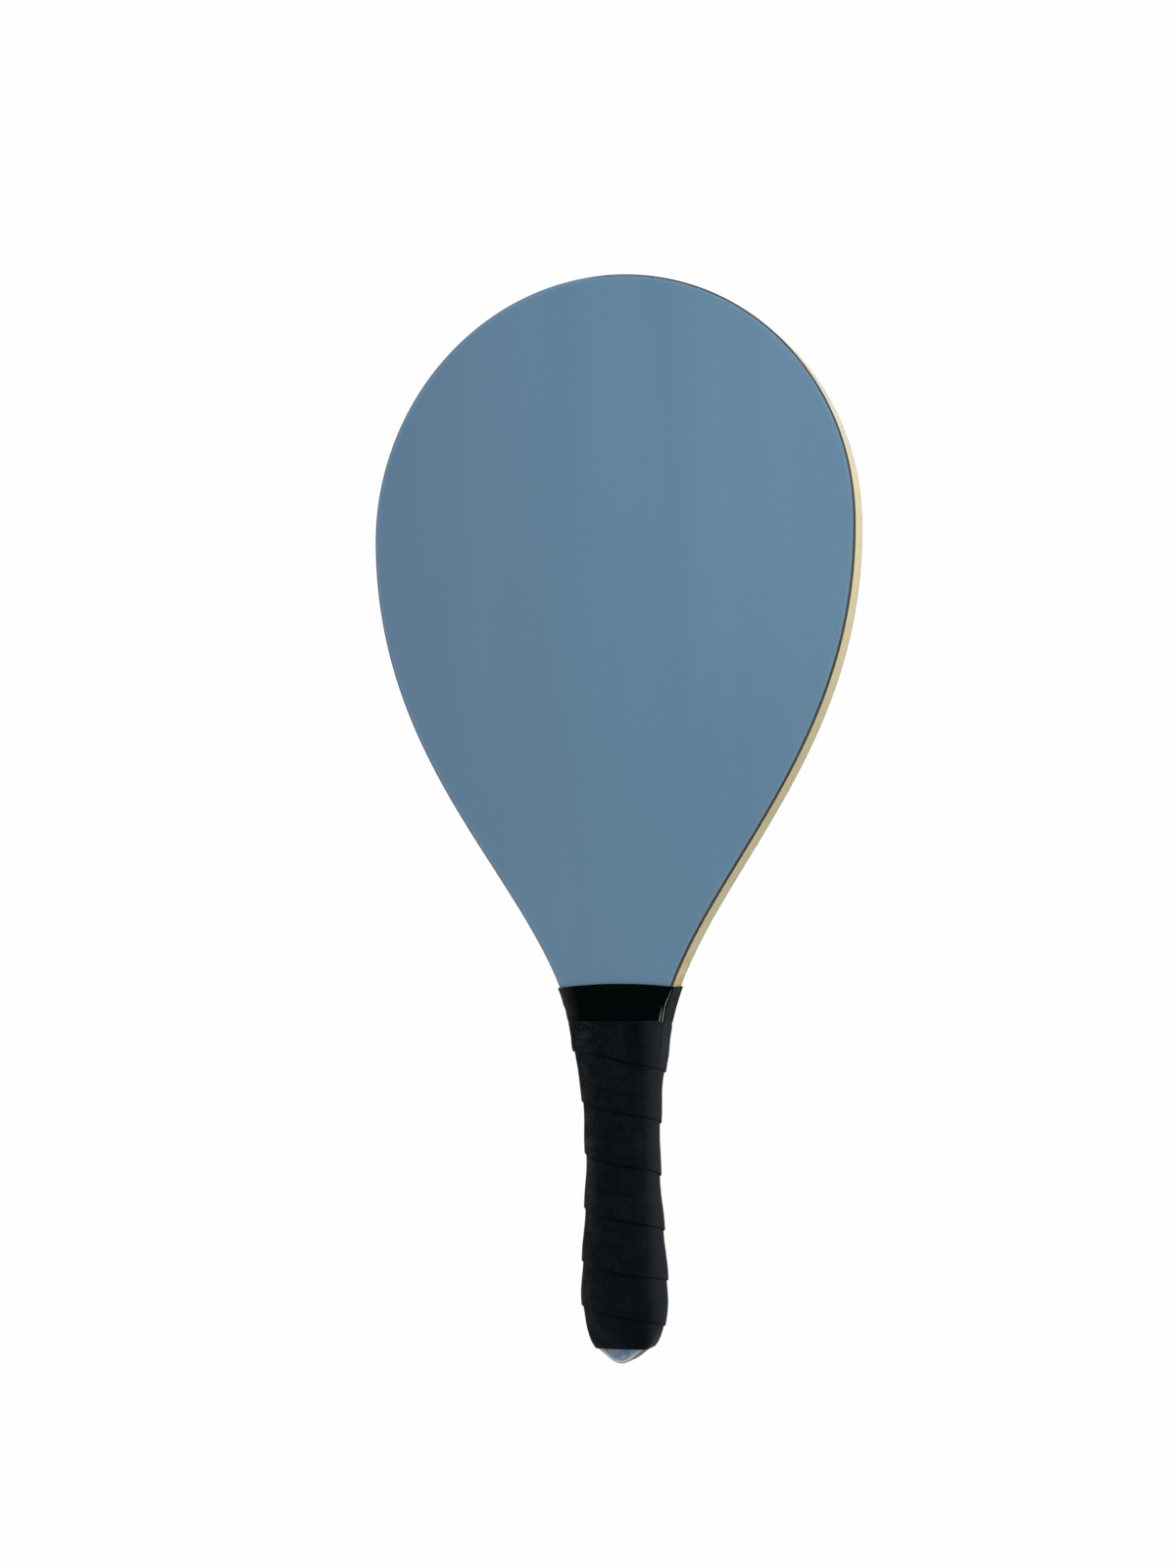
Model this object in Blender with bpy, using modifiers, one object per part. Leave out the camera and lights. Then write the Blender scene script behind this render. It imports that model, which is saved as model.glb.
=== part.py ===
# Beach paddle: a wooden blade with a laminate sheet on each face, two wooden
# handle cheeks glued to its tongue and rounded over with it to an oval, a
# helically wound overgrip and a throat tape.
# Units are metres. +Y runs from the butt to the head, +Z out of the front face.

import math

import bmesh
import bpy
import numpy as np

# Outline of the blade and its tongue, right half. "at" values are heights above the tip.
overall_length = 0.455
head_half_width = 0.1055
crown_height = 0.109          # from the widest point up to the head's top
neck_half_width = 0.0199
neck_at = 0.1405
neck_angle = math.radians(13.6)
waist_half_width = 0.0142
waist_at = 0.0804
bulge_half_width = 0.0167
bulge_at = 0.0281
nose_half_width = 0.0083      # where the handle's end turns into its blunt point
nose_at = 0.0045
nose_angle = math.radians(60.0)

# Fullness of the outline between those places, as shares of the height between them
crown_pull = 0.552
side_pull = 0.480
flank_pull = 0.293
neck_pull = 0.218
waist_pull = 0.381
belly_pull = 0.222
butt_pull = 0.408
nose_pull = 0.233
tip_pull = 0.374
tip_round = 0.44              # share of the nose's half width

# Thicknesses of the blade
core_thickness = 0.0120
laminate_thickness = 0.0008
laminate_chamfer = 0.0007
glue_line = 0.0001

# Handle cheeks
cheek_butt_at = 0.0071
cheek_throat_at = 0.1400
cheek_ramp_length = 0.030
cheek_lip = 0.0008            # height of the cheek where its ramp begins
waist_dome = 0.0055
bulge_dome = 0.0062
butt_round_length = 0.014
butt_fall = 0.85              # how far round its quarter circle the dome has gone at the butt
dome_power = 2.2              # 2 is an ellipse, more is squarer
side_flat = 0.0012            # what the rounding leaves flat at the middle of the sides
butt_rounding = 0.35          # share of the rounding's depth that is left at the butt

# Overgrip ribbon
wrap_pitch = 0.0212
wrap_width = 0.0252
wrap_thickness = 0.0006
wrap_self_gap = 0.00053
wrap_lap = 0.0050             # raised strip along the lower edge, over the turn below
wrap_rise = 0.0030            # slope from the raised strip down to the handle
narrow_lap = 0.35             # where the ribbon is trimmed narrow: its lap's share of the width
narrow_rise = 0.65            # and where the slope ends
wrap_climb_at = 0.80          # turns after its start at which the ribbon climbs on itself
wrap_climb_length = 0.15
wrap_seam_at = 0.0136         # lowest seam, at the middle of the right side
wrap_butt_at = 0.0064
wrap_throat_at = 0.1406
wrap_start_width = 0.0050
wrap_end_width = 0.0040
gap = 0.0003

# Throat tape
tape_width = 0.0144
tape_thickness = 0.0005
tape_corner = 0.0005
tape_bow = 0.0015             # rise of the upper edge at the middle of the face
tape_flat_share = 0.6         # part of the half width with points of its own

# Fineness of the round stretches and of the lofts
crown_steps = 24
side_steps = 14
neck_steps = 10
belly_steps = 6
butt_steps = 7
tip_steps = 4
edge_steps = 2                # levels of the core's rounded edges, each face
dome_steps = 11
cheek_steps = (6, 8, 4, 8)    # butt round, belly, waist, ramp
wrap_steps = 3
tape_steps = 5
fine_steps = 60
slope_step = 0.00001
sample_spacing = 0.0006       # of the points on which the ribbon's gap to itself is measured
beside_turns = 0.3            # how much of the next turn is measured against
sharp_angle = math.radians(40.0)

core_half = core_thickness / 2
face_half = core_half + glue_line + laminate_thickness
cheek_base = face_half + glue_line
tip_y = -overall_length / 2
head_y = overall_length / 2


def clear_scene():
    for thing in list(bpy.data.objects):
        bpy.data.objects.remove(thing, do_unlink=True)
    for group in list(bpy.data.collections):
        bpy.data.collections.remove(group)


def make_material(name, colour, roughness, metallic=0.0):
    material = bpy.data.materials.new(name)
    material.use_nodes = True
    shader = material.node_tree.nodes["Principled BSDF"]
    shader.inputs["Base Color"].default_value = (*colour, 1.0)
    shader.inputs["Roughness"].default_value = roughness
    shader.inputs["Metallic"].default_value = metallic
    material.diffuse_color = (*colour, 1.0)
    return material


def add_object(name, mesh, material, frame, group):
    thing = bpy.data.objects.new(name, mesh)
    group.objects.link(thing)
    thing.parent = frame
    mesh.materials.append(material)
    return thing


def smooth_step(value):
    value = min(max(value, 0.0), 1.0)
    return value * value * (3.0 - 2.0 * value)


def bezier(start, leave, arrive, end, steps):
    t = np.linspace(0.0, 1.0, steps + 1)[:-1, None]
    return ((1 - t) ** 3 * start + 3 * (1 - t) ** 2 * t * leave
            + 3 * (1 - t) * t ** 2 * arrive + t ** 3 * end)


def heading(angle):
    # Direction toward the butt, turned in toward the centre line by the angle
    return np.array([-math.sin(angle), -math.cos(angle)])


def half_outline(steps):
    # Right half of the blade and tongue, from the head's top to the tip
    crown = np.array([0.0, head_y])
    widest = np.array([head_half_width, head_y - crown_height])
    neck = np.array([neck_half_width, tip_y + neck_at])
    waist = np.array([waist_half_width, tip_y + waist_at])
    bulge = np.array([bulge_half_width, tip_y + bulge_at])
    nose = np.array([nose_half_width, tip_y + nose_at])
    tip = np.array([0.0, tip_y])
    down = heading(0.0)
    flank_span = widest[1] - neck[1]
    neck_span = neck[1] - waist[1]
    belly_span = waist[1] - bulge[1]
    butt_span = bulge[1] - nose[1]
    stretches = [
        bezier(crown, crown + [crown_pull * head_half_width, 0.0],
               widest - down * crown_pull * crown_height, widest, steps[0]),
        bezier(widest, widest + down * side_pull * flank_span,
               neck - heading(neck_angle) * flank_pull * flank_span, neck, steps[1]),
        bezier(neck, neck + heading(neck_angle) * neck_pull * neck_span,
               waist - down * waist_pull * neck_span, waist, steps[2]),
        bezier(waist, waist + down * belly_pull * belly_span,
               bulge - down * belly_pull * belly_span, bulge, steps[3]),
        bezier(bulge, bulge + down * butt_pull * butt_span,
               nose - heading(nose_angle) * nose_pull * butt_span, nose, steps[4]),
        bezier(nose, nose + heading(nose_angle) * tip_pull * nose_at,
               tip + [tip_round * nose_half_width, 0.0], tip, steps[5]),
    ]
    return np.vstack(stretches + [tip[None]])


coarse_steps = (crown_steps, side_steps, neck_steps, belly_steps, butt_steps, tip_steps)
fine_half = half_outline((fine_steps,) * 6)
handle_half = fine_half[fine_half[:, 1] < head_y - crown_height][::-1]


def half_width(height):
    # Half width of the tongue at a height above the tip
    return float(np.interp(tip_y + height, handle_half[:, 1], handle_half[:, 0]))


def dome_height(height):
    # How far a cheek stands out of the laminate at a height above the tip
    ramp = smooth_step((cheek_throat_at - height) / cheek_ramp_length)
    swell = smooth_step((waist_at - height) / (waist_at - bulge_at))
    full = waist_dome + (bulge_dome - waist_dome) * swell
    turned = min(max(1.0 - (height - cheek_butt_at) / butt_round_length, 0.0), 1.0)
    return (cheek_lip + (full - cheek_lip) * ramp) * math.sqrt(1.0 - (butt_fall * turned) ** 2)


def rounding(height):
    # Shares of the rounding that the ramp at the throat and the butt end let through
    ramp = smooth_step((cheek_throat_at - height) / cheek_ramp_length)
    full = smooth_step((height - cheek_butt_at) / butt_round_length)
    return ramp, full


def round_part(height):
    # Each half of the handle's section is a superellipse arc on upright sides: the
    # level where the arc starts, and how far it reaches out from there
    ramp, full = rounding(height)
    depth = cheek_base - side_flat / 2
    depth *= ramp ** 2 * (butt_rounding + (1.0 - butt_rounding) * full)
    return cheek_base - depth, dome_height(height) + depth


def width_share(height, level):
    # Share of the half width that the rounding leaves at a level of the board
    start, reach = round_part(height)
    out = max(abs(level) - start, 0.0) / reach
    return (1.0 - out ** dome_power) ** (1.0 / dome_power)


def dome_profile(steps, first_out=0.0):
    # Arc of the unit section, from right to left: (sideways, outward) shares. It
    # begins and ends at the outward share first_out
    exponent = 2.0 / dome_power
    first = math.asin(first_out ** (1.0 / exponent))
    profile = []
    for turn in np.linspace(first, math.pi - first, steps + 1):
        side = math.copysign(abs(math.cos(turn)) ** exponent, math.cos(turn))
        profile.append((side, max(math.sin(turn), 0.0) ** exponent))
    return profile


def board_rim(level, chamfer):
    # Outline of the board at a level. The chamfer draws it in where it isn't rounded
    right = half_outline(coarse_steps)
    left = right[-2:0:-1] * [-1.0, 1.0]
    rim = np.vstack([right, left])[::-1]
    along = np.roll(rim, -1, axis=0) - np.roll(rim, 1, axis=0)
    outward = np.stack([along[:, 1], -along[:, 0]], axis=1)
    outward /= np.linalg.norm(along, axis=1)[:, None]
    ring = []
    for (x, y), normal in zip(rim, outward):
        ramp, full = rounding(y - tip_y)
        inset = chamfer * (1.0 - ramp * full) * normal
        ring.append((x * width_share(y - tip_y, level) - inset[0], y - inset[1], level))
    return ring


def loft(name, rings, capped=True):
    # Skin over closed rings of equal count, with flat ends
    shape = bmesh.new()
    rows = [[shape.verts.new(point) for point in ring] for ring in rings]
    count = len(rings[0])
    for lower, upper in zip(rows[:-1], rows[1:]):
        for here in range(count):
            after = (here + 1) % count
            shape.faces.new((lower[here], lower[after], upper[after], upper[here]))
    if capped:
        shape.faces.new(rows[0])
        shape.faces.new(rows[-1])
    bmesh.ops.recalc_face_normals(shape, faces=shape.faces)
    mesh = bpy.data.meshes.new(name)
    shape.to_mesh(mesh)
    shape.free()
    return mesh


def layer(name, levels):
    # One layer of the board, lofted through its (level, chamfer) pairs
    return loft(name, [board_rim(level, chamfer) for level, chamfer in levels])


def cheek(name, side):
    # D-section scale glued to one face of the tongue; side is +1 front, -1 rear
    ramp_end_at = cheek_throat_at - cheek_ramp_length
    round_end_at = cheek_butt_at + butt_round_length
    places = [cheek_butt_at, round_end_at, waist_at, ramp_end_at, cheek_throat_at]
    heights = [cheek_butt_at]
    for low, high, steps in zip(places[:-1], places[1:], cheek_steps):
        heights.extend(np.linspace(low, high, steps + 1)[1:])
    rings = []
    for height in heights:
        wide = half_width(height)
        start, reach = round_part(height)
        arc = dome_profile(dome_steps, (cheek_base - start) / reach)
        rings.append([(wide * across, tip_y + height, side * (start + reach * out))
                      for across, out in arc])
    return loft(name, rings)


def handle_surface(across, out, side, height):
    # Point and outward normal of the bare handle
    step = slope_step
    wide = half_width(height)
    start, reach = round_part(height)
    start_below, reach_below = round_part(height - step)
    start_above, reach_above = round_part(height + step)
    widening = (half_width(height + step) - half_width(height - step)) / (2 * step)
    climbing = (start_above - start_below) / (2 * step)
    swelling = (reach_above - reach_below) / (2 * step)
    steep = dome_power - 1.0
    across_pull = abs(across) ** dome_power * widening / wide
    out_pull = out ** steep * (climbing + out * swelling) / reach
    normal = np.array([
        math.copysign(abs(across) ** steep, across) / wide,
        -(across_pull + out_pull),
        side * out ** steep / reach,
    ])
    point = np.array([wide * across, tip_y + height,
                      side * (start + reach * out)])
    return point, normal / np.linalg.norm(normal)


def wrap_loop():
    # One trip round the handle from the rear edge of its right side: (across, out,
    # side) and the share of the trip, taken at the waist
    front = dome_profile(dome_steps)
    trip = [(1.0, 0.0, -1.0)]
    trip += [(across, out, 1.0) for across, out in front]
    trip += [(across, out, -1.0) for across, out in front[::-1]][:-1]
    places = [handle_surface(*place, waist_at)[0] for place in trip]
    steps = [np.linalg.norm(b - a) for a, b in zip(places, places[1:] + places[:1])]
    shares = np.concatenate([[0.0], np.cumsum(steps)[:-1]]) / sum(steps)
    return trip, shares


def wrap_sections():
    # Cross-sections of the ribbon, lower edge to upper edge outside, then back inside
    trip, shares = wrap_loop()
    start = (wrap_butt_at + wrap_start_width - wrap_width - wrap_seam_at) / wrap_pitch
    finish = (wrap_throat_at - wrap_end_width - wrap_seam_at) / wrap_pitch
    raised = wrap_thickness + wrap_self_gap
    sections = []
    for turn in range(math.floor(start), math.ceil(finish)):
        for place, share in zip(trip, shares):
            along = turn + share
            if not start <= along <= finish:
                continue
            seam = wrap_seam_at + wrap_pitch * along
            low = max(seam, wrap_butt_at)
            high = min(seam + wrap_width, wrap_throat_at)
            width = high - low
            lap_end = low + min(wrap_lap, narrow_lap * width)
            rise_end = low + min(wrap_lap + wrap_rise, narrow_rise * width)
            over_tail = smooth_step((along - start - wrap_climb_at) / wrap_climb_length)
            outside, inside = [], []
            heights = [low, (low + lap_end) / 2, lap_end]
            heights += list(np.linspace(rise_end, high, wrap_steps + 1))
            for height in heights:
                fall = smooth_step((height - seam - wrap_lap) / wrap_rise)
                lift = gap + raised * (1.0 - fall) * over_tail
                point, normal = handle_surface(*place, height)
                inside.append(point + normal * lift)
                outside.append(point + normal * (lift + wrap_thickness))
            sections.append((along, np.array(outside + inside[::-1])))
    return sections


def wrap_least_gap(sections):
    # Least distance between sampled points of turns that lie side by side
    samples = []
    turns = []
    for along, ring in sections:
        outside, inside = np.split(ring, 2)
        for strip in (outside, inside):
            for a, b in zip(strip[:-1], strip[1:]):
                count = max(int(np.linalg.norm(b - a) / sample_spacing), 1)
                shares = np.linspace(0.0, 1.0, count + 1)[:, None]
                samples.append(a + (b - a) * shares)
                turns.append(np.full(count + 1, along))
    points = np.vstack(samples)
    turns = np.concatenate(turns)
    gaps = []
    for along, _ in sections:
        here = points[turns == along]
        near = points[np.abs(turns - along - 1.0) < beside_turns]
        if len(near):
            gaps.append(np.linalg.norm(here[:, None] - near[None], axis=2).min())
    return min(gaps)


def throat_tape(name):
    # Band of vinyl tape drawn tight round the bare tongue: an open sleeve with a wall
    low = wrap_throat_at + gap
    inner = face_half + gap
    rings = []
    for share in np.linspace(0.0, 1.0, tape_steps + 1):
        height = low + tape_width * share
        wide = half_width(height) + gap
        front = []
        for across, corner in ((1, 0), (-1, 1)):
            for turn in (0.0, 0.5, 1.0):
                angle = math.pi / 2 * (corner + turn)
                front.append((across * (wide - tape_corner) + tape_corner * math.cos(angle),
                              inner - tape_corner + tape_corner * math.sin(angle)))
        flat = tape_flat_share * wide
        front[3:3] = [(flat, inner), (0.0, inner), (-flat, inner)]
        ring = front + [(x, -z) for x, z in front[::-1]]
        rings.append([(x, tip_y + height + tape_bow * share * (1 - (x / wide) ** 2), z)
                      for x, z in ring])
    return loft(name, rings, capped=False)


def build():
    clear_scene()
    group = bpy.data.collections.new("beach_paddle")
    bpy.context.scene.collection.children.link(group)
    sections = wrap_sections()
    print("least gap of the overgrip to itself: %.2f mm" % (wrap_least_gap(sections) * 1000))
    lowest = min(ring[:, 2].min() for _, ring in sections)
    frame = bpy.data.objects.new("paddle_frame", None)
    frame.location = (0.0, 0.0, -lowest)
    group.objects.link(frame)

    wood = make_material("core_wood", (0.67, 0.58, 0.39), 0.65)
    blue = make_material("blue_laminate", (0.13, 0.235, 0.335), 0.35)
    cheek_wood = make_material("cheek_wood", (0.52, 0.36, 0.20), 0.60)
    grip = make_material("overgrip_black", (0.008, 0.009, 0.010), 0.70)
    vinyl = make_material("vinyl_black", (0.003, 0.003, 0.003), 0.15)

    edge = [(level, 0.0) for level in np.linspace(side_flat / 2, core_half, edge_steps + 1)]
    core = [(-level, inset) for level, inset in edge[::-1]] + edge
    sheet = [(core_half + glue_line, 0.0), (face_half - laminate_chamfer, 0.0),
             (face_half, laminate_chamfer)]
    rear_sheet = [(-level, inset) for level, inset in sheet[::-1]]
    add_object("core_panel", layer("core_panel", core), wood, frame, group)
    add_object("front_laminate", layer("front_laminate", sheet), blue, frame, group)
    add_object("rear_laminate", layer("rear_laminate", rear_sheet), blue, frame, group)
    for name, side in (("front_cheek", 1.0), ("rear_cheek", -1.0)):
        part = add_object(name, cheek(name, side), cheek_wood, frame, group)
        part.data.shade_smooth()
        part.data.set_sharp_from_angle(angle=sharp_angle)
    ribbon = loft("overgrip", [ring for _, ring in sections])
    ribbon.shade_smooth()
    ribbon.set_sharp_from_angle(angle=sharp_angle)
    add_object("overgrip", ribbon, grip, frame, group)
    tape = add_object("throat_tape", throat_tape("throat_tape"), vinyl, frame, group)
    wall = tape.modifiers.new("wall", "SOLIDIFY")
    wall.thickness = tape_thickness
    wall.offset = 1.0
    wall.use_even_offset = True
    bpy.context.view_layer.update()


build()
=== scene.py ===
import math

import bmesh
import bpy
import numpy as np
from mathutils import Matrix, Vector


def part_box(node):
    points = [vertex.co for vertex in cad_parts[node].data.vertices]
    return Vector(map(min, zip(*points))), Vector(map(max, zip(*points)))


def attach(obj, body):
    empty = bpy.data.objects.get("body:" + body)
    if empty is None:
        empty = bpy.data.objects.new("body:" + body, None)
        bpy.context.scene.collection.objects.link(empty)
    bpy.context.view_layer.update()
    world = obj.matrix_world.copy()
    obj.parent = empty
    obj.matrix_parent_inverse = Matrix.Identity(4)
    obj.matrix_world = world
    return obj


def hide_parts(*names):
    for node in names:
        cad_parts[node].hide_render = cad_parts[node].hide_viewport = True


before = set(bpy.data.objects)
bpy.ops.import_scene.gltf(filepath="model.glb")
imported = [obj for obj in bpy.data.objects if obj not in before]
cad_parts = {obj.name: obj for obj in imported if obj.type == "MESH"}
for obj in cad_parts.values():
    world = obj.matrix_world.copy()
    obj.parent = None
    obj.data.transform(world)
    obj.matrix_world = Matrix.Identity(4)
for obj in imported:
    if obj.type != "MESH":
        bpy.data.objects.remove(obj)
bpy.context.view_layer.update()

# The paddle lies face up: +Y runs from the butt to the head, +Z out of the front face.
midPlane = sum(corner.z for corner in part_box("core_panel")) / 2
mm = 0.001


# Small helpers for node trees

def addNode(tree, kind, settings=None, **inputs):
    node = tree.nodes.new(kind)
    for name, value in (settings or {}).items():
        setattr(node, name, value)
    for name, value in inputs.items():
        feed(tree, value, node.inputs[name.replace("_", " ")])
    return node


def feed(tree, value, socket):
    if isinstance(value, bpy.types.NodeSocket):
        tree.links.new(value, socket)
    else:
        socket.default_value = value


def calc(tree, operation, first, second=0.0, third=0.0, clamp=False):
    node = tree.nodes.new("ShaderNodeMath")
    node.operation = operation
    node.use_clamp = clamp
    for value, socket in zip((first, second, third), node.inputs):
        feed(tree, value, socket)
    return node.outputs[0]


def remap(tree, value, low, high, newLow=0.0, newHigh=1.0, style="SMOOTHSTEP"):
    node = addNode(tree, "ShaderNodeMapRange", {"interpolation_type": style})
    for item, socket in zip((value, low, high, newLow, newHigh), node.inputs):
        feed(tree, item, socket)
    return node.outputs[0]


def blendColor(tree, factor, first, second):
    node = addNode(tree, "ShaderNodeMix", {"data_type": "RGBA"})
    feed(tree, factor, node.inputs[0])
    feed(tree, first, node.inputs[6])
    feed(tree, second, node.inputs[7])
    return node.outputs[2]


def newGroup(name, inputs, outputs):
    tree = bpy.data.node_groups.new(name, "ShaderNodeTree")
    for label, kind, value in inputs:
        socket = tree.interface.new_socket(label, in_out="INPUT", socket_type=kind)
        socket.default_value = value
    for label, kind in outputs:
        tree.interface.new_socket(label, in_out="OUTPUT", socket_type=kind)
    return tree, tree.nodes.new("NodeGroupInput").outputs, tree.nodes.new("NodeGroupOutput").inputs


def newMaterial(name):
    material = bpy.data.materials.new(name)
    material.use_nodes = True
    tree = material.node_tree
    return material, tree, tree.nodes["Principled BSDF"]


def objectPoint(tree):
    return addNode(tree, "ShaderNodeTexCoord").outputs["Object"]


def srgb(red, green, blue):
    # An 8-bit display colour as a linear one
    linear = [(value / 255 / 12.92) if value <= 10 else ((value / 255 + 0.055) / 1.055) ** 2.4
              for value in (red, green, blue)]
    return (*linear, 1.0)


# Shader groups that more than one material uses

def makeFleckGroup():
    # Streaky variation: stretched noise, as a mask round 0.5
    tree, inside, outside = newGroup(
        "streakyFleck",
        [("Across", "NodeSocketFloat", 900.0), ("Along", "NodeSocketFloat", 60.0),
         ("Contrast", "NodeSocketFloat", 1.0)],
        [("Mask", "NodeSocketFloat")])
    split = addNode(tree, "ShaderNodeSeparateXYZ", Vector=objectPoint(tree))
    joined = addNode(tree, "ShaderNodeCombineXYZ",
                     X=calc(tree, "MULTIPLY", split.outputs["X"], inside["Across"]),
                     Y=calc(tree, "MULTIPLY", split.outputs["Y"], inside["Along"]),
                     Z=calc(tree, "MULTIPLY", split.outputs["Z"], inside["Across"]))
    noise = addNode(tree, "ShaderNodeTexNoise", Vector=joined.outputs[0], Scale=1.0, Detail=4.0,
                    Roughness=0.6)
    centred = calc(tree, "SUBTRACT", noise.outputs[0], 0.5)
    mask = calc(tree, "MULTIPLY_ADD", centred, inside["Contrast"], 0.5, clamp=True)
    feed(tree, mask, outside["Mask"])
    return tree


def makeWoodGroup():
    # Grain along Y: growth lines, pores and a slow shift of tone
    tree, inside, outside = newGroup(
        "woodGrain",
        [("Pale", "NodeSocketColor", (0.7, 0.6, 0.4, 1.0)),
         ("Dark", "NodeSocketColor", (0.5, 0.4, 0.2, 1.0)),
         ("Line Spacing", "NodeSocketFloat", 0.0016),
         ("Line Strength", "NodeSocketFloat", 0.5)],
        [("Color", "NodeSocketColor"), ("Height", "NodeSocketFloat")])
    place = objectPoint(tree)
    split = addNode(tree, "ShaderNodeSeparateXYZ", Vector=place)
    sway = addNode(tree, "ShaderNodeTexNoise", Vector=place, Scale=22.0, Detail=2.0)
    depth = calc(tree, "MULTIPLY_ADD", sway.outputs[0], 0.006, split.outputs["Z"])
    lines = calc(tree, "SINE", calc(tree, "DIVIDE", calc(tree, "MULTIPLY", depth, 2 * math.pi),
                                    inside["Line Spacing"]))
    fleck = addNode(tree, "ShaderNodeGroup", {"node_tree": fleckGroup},
                    Across=2600.0, Along=130.0, Contrast=2.2)
    pores = addNode(tree, "ShaderNodeGroup", {"node_tree": fleckGroup},
                    Across=6500.0, Along=500.0, Contrast=3.0)
    shade = calc(tree, "MULTIPLY", remap(tree, lines, -0.4, 1.0), inside["Line Strength"])
    shade = calc(tree, "MULTIPLY_ADD", fleck.outputs[0], 0.55, calc(tree, "MULTIPLY", shade, 0.5))
    shade = calc(tree, "MULTIPLY_ADD", pores.outputs[0], 0.25, shade, clamp=True)
    feed(tree, blendColor(tree, shade, inside["Pale"], inside["Dark"]), outside["Color"])
    feed(tree, calc(tree, "SUBTRACT", 1.0, shade), outside["Height"])
    return tree


fleckGroup = makeFleckGroup()
woodGroup = makeWoodGroup()


# Outline of the board, repeated from the model so that it can be cut finer here

board = {
    "length": 0.455, "headHalfWidth": 0.1055, "crownHeight": 0.109,
    "neckHalfWidth": 0.0199, "neckAt": 0.1405, "neckAngle": math.radians(13.6),
    "waistHalfWidth": 0.0142, "waistAt": 0.0804, "bulgeHalfWidth": 0.0167, "bulgeAt": 0.0281,
    "noseHalfWidth": 0.0083, "noseAt": 0.0045, "noseAngle": math.radians(60.0), "tipRound": 0.44,
    "pulls": {"crown": 0.552, "side": 0.480, "flank": 0.293, "neck": 0.218, "waist": 0.381,
              "belly": 0.222, "butt": 0.408, "nose": 0.233, "tip": 0.374},
    "coreThickness": 0.0120, "sheetThickness": 0.0008, "sheetChamfer": 0.0007,
    "glueLine": 0.0001, "coreRound": 0.00025,
}
tipY = -board["length"] / 2
headY = board["length"] / 2
faceHalf = board["coreThickness"] / 2 + board["glueLine"] + board["sheetThickness"]


def bezier(start, leave, arrive, end, steps):
    t = np.linspace(0.0, 1.0, steps + 1)[:-1, None]
    return ((1 - t) ** 3 * start + 3 * (1 - t) ** 2 * t * leave
            + 3 * (1 - t) * t ** 2 * arrive + t ** 3 * end)


def heading(angle):
    return np.array([-math.sin(angle), -math.cos(angle)])


def halfOutline(steps):
    # Right half from the head's top to the tip, in six stretches
    pull = board["pulls"]
    crown = np.array([0.0, headY])
    widest = np.array([board["headHalfWidth"], headY - board["crownHeight"]])
    neck = np.array([board["neckHalfWidth"], tipY + board["neckAt"]])
    waist = np.array([board["waistHalfWidth"], tipY + board["waistAt"]])
    bulge = np.array([board["bulgeHalfWidth"], tipY + board["bulgeAt"]])
    nose = np.array([board["noseHalfWidth"], tipY + board["noseAt"]])
    tip = np.array([0.0, tipY])
    down = heading(0.0)
    intoNeck, intoNose = heading(board["neckAngle"]), heading(board["noseAngle"])
    flank, neckSpan = widest[1] - neck[1], neck[1] - waist[1]
    belly, butt = waist[1] - bulge[1], bulge[1] - nose[1]
    return np.vstack([
        bezier(crown, crown + [pull["crown"] * widest[0], 0.0],
               widest - down * pull["crown"] * board["crownHeight"], widest, steps[0]),
        bezier(widest, widest + down * pull["side"] * flank,
               neck - intoNeck * pull["flank"] * flank, neck, steps[1]),
        bezier(neck, neck + intoNeck * pull["neck"] * neckSpan,
               waist - down * pull["waist"] * neckSpan, waist, steps[2]),
        bezier(waist, waist + down * pull["belly"] * belly,
               bulge - down * pull["belly"] * belly, bulge, steps[3]),
        bezier(bulge, bulge + down * pull["butt"] * butt,
               nose - intoNose * pull["nose"] * butt, nose, steps[4]),
        bezier(nose, nose + intoNose * pull["tip"] * board["noseAt"],
               tip + [board["tipRound"] * nose[0], 0.0], tip, steps[5]),
        tip[None],
    ])


rightSide = halfOutline((90, 60, 24, 24, 20, 14))
rim = np.vstack([rightSide, rightSide[-2:0:-1] * [-1.0, 1.0]])[::-1]
rimAlong = np.roll(rim, -1, axis=0) - np.roll(rim, 1, axis=0)
rimOut = np.stack([rimAlong[:, 1], -rimAlong[:, 0]], axis=1)
rimOut /= np.linalg.norm(rimOut, axis=1)[:, None]
profile = halfOutline((60,) * 6)
profile = profile[profile[:, 1] < headY - board["crownHeight"]][::-1]


def halfWidth(height):
    return float(np.interp(tipY + height, profile[:, 1], profile[:, 0]))


# Handle: the tongue and a cheek on each face of it, rounded over together to an oval

handle = {
    "buttAt": 0.0071, "throatAt": 0.1400, "rampLength": 0.030, "lip": 0.0008,
    "waistDome": 0.0055, "bulgeDome": 0.0062, "buttRound": 0.014, "buttFall": 0.85, "power": 2.2,
    "sideFlat": 0.0012, "buttRounding": 0.35,
    "low": 0.0045, "high": 0.1500, "rings": 150, "arc": 60,
}
cheekBase = faceHalf + board["glueLine"]


def smoothStep(value):
    value = min(max(value, 0.0), 1.0)
    return value * value * (3.0 - 2.0 * value)


def domeHeight(height):
    ramp = smoothStep((handle["throatAt"] - height) / handle["rampLength"])
    swell = smoothStep((board["waistAt"] - height) / (board["waistAt"] - board["bulgeAt"]))
    full = handle["waistDome"] + (handle["bulgeDome"] - handle["waistDome"]) * swell
    turned = min(max(1.0 - (height - handle["buttAt"]) / handle["buttRound"], 0.0), 1.0)
    return ((handle["lip"] + (full - handle["lip"]) * ramp)
            * math.sqrt(1.0 - (handle["buttFall"] * turned) ** 2))


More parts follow.
